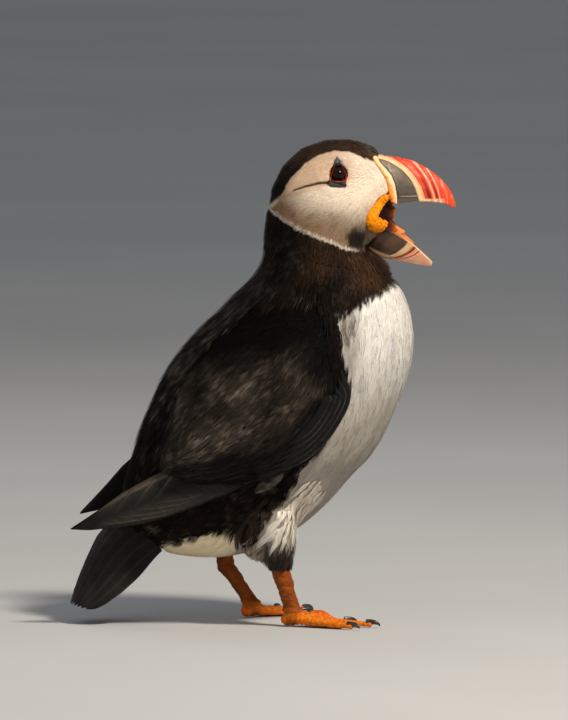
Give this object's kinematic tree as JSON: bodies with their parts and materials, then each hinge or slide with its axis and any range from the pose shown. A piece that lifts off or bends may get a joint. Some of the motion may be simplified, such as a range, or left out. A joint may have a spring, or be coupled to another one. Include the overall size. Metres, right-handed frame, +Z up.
{
  "type": "atlantic puffin, life-size standing model",
  "caption": "Standing puffin in breeding plumage, bill held wide open, wings and tail folded; rests on the flat soles of its two webbed feet.",
  "frame": {"origin": "on the floor, at the bottom centre of the whole bird's box", "axes": "+X is the way the bird faces, +Y its left side, +Z up"},
  "size_m": [0.1662, 0.102, 0.2087],
  "materials": {
    "black_plumage": "dense soft black-brown feathers, faint sheen",
    "white_plumage": "silky white breast and belly feathers",
    "face_plumage": "short velvety grey-white face feathers",
    "orange_skin": "wrinkled, scaled orange leg and foot skin",
    "gape_yellow": "wrinkled fleshy yellow-orange rosette",
    "mouth_orange": "moist orange-brown mouth skin",
    "bill_horn": "grooved horn: slate base, cream ridge, red outer part",
    "cere_horn": "pale raised rim at the base of the bill",
    "eye_plate_horn": "small slate-grey horn plates at the eye",
    "eye_dark": "glossy dark brown eye",
    "claw_horn": "black horn"
  },
  "bodies": {
    "root": {"head": "face_plumage", "neck": "black_plumage", "trunk": "white_plumage", "tail": "black_plumage", "wing_right": "black_plumage", "primaries_right": "black_plumage", "thigh_right": "white_plumage", "shank_right": "orange_skin", "foot_right": "orange_skin", "claw_right_inner": "claw_horn", "claw_right_middle": "claw_horn", "claw_right_outer": "claw_horn", "gape_right": "gape_yellow", "eye_right": "eye_dark", "eye_plate_upper_right": "eye_plate_horn", "eye_plate_lower_right": "eye_plate_horn", "wing_left": "black_plumage", "primaries_left": "black_plumage", "thigh_left": "white_plumage", "shank_left": "orange_skin", "foot_left": "orange_skin", "claw_left_inner": "claw_horn", "claw_left_middle": "claw_horn", "claw_left_outer": "claw_horn", "gape_left": "gape_yellow", "eye_left": "eye_dark", "eye_plate_upper_left": "eye_plate_horn", "eye_plate_lower_left": "eye_plate_horn", "cere": "cere_horn", "bill_upper": "bill_horn", "bill_lower": "bill_horn", "mouth": "mouth_orange", "tongue": "mouth_orange"}
  },
  "joints": []
}
